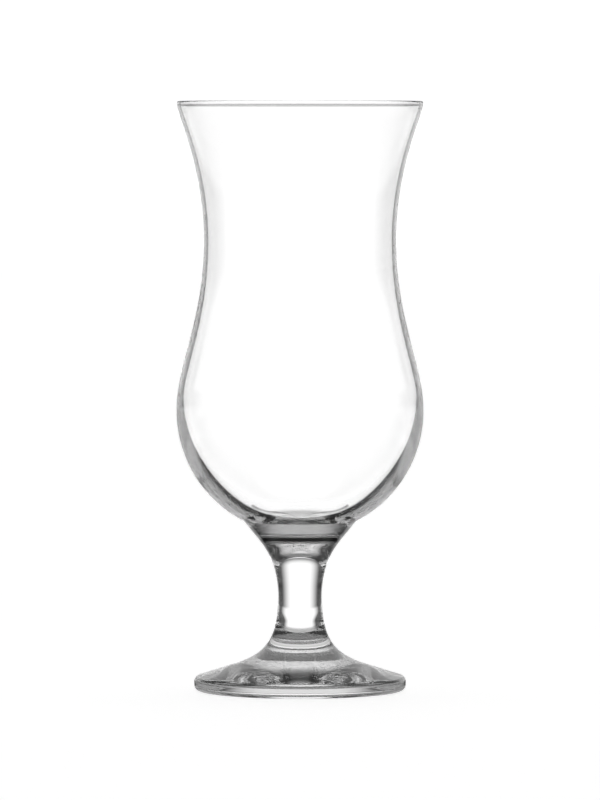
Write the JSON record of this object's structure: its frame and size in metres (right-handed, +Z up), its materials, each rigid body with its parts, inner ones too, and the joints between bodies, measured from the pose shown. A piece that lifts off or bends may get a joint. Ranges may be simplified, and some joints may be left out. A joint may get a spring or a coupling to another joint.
{
  "type": "hurricane glass",
  "caption": "Clear stemmed drinking glass with a round lower bowl, narrow waist and flared rim, on a short solid stem and a wide round foot.",
  "frame": {"origin": "centre of the foot, on the plane that the foot rests on", "axes": "+Z up along the axis of revolution, from the foot to the rim; X and Y are alike"},
  "size_m": [0.0796, 0.0796, 0.1899],
  "materials": {
    "blown_glass": "clear colourless soda-lime glass, blown and fire-polished",
    "pressed_glass": "clear colourless soda-lime glass, pressed, with a faintly uneven surface"
  },
  "bodies": {
    "root": {"bowl": "blown_glass", "stem": "pressed_glass", "foot": "pressed_glass"}
  },
  "joints": []
}
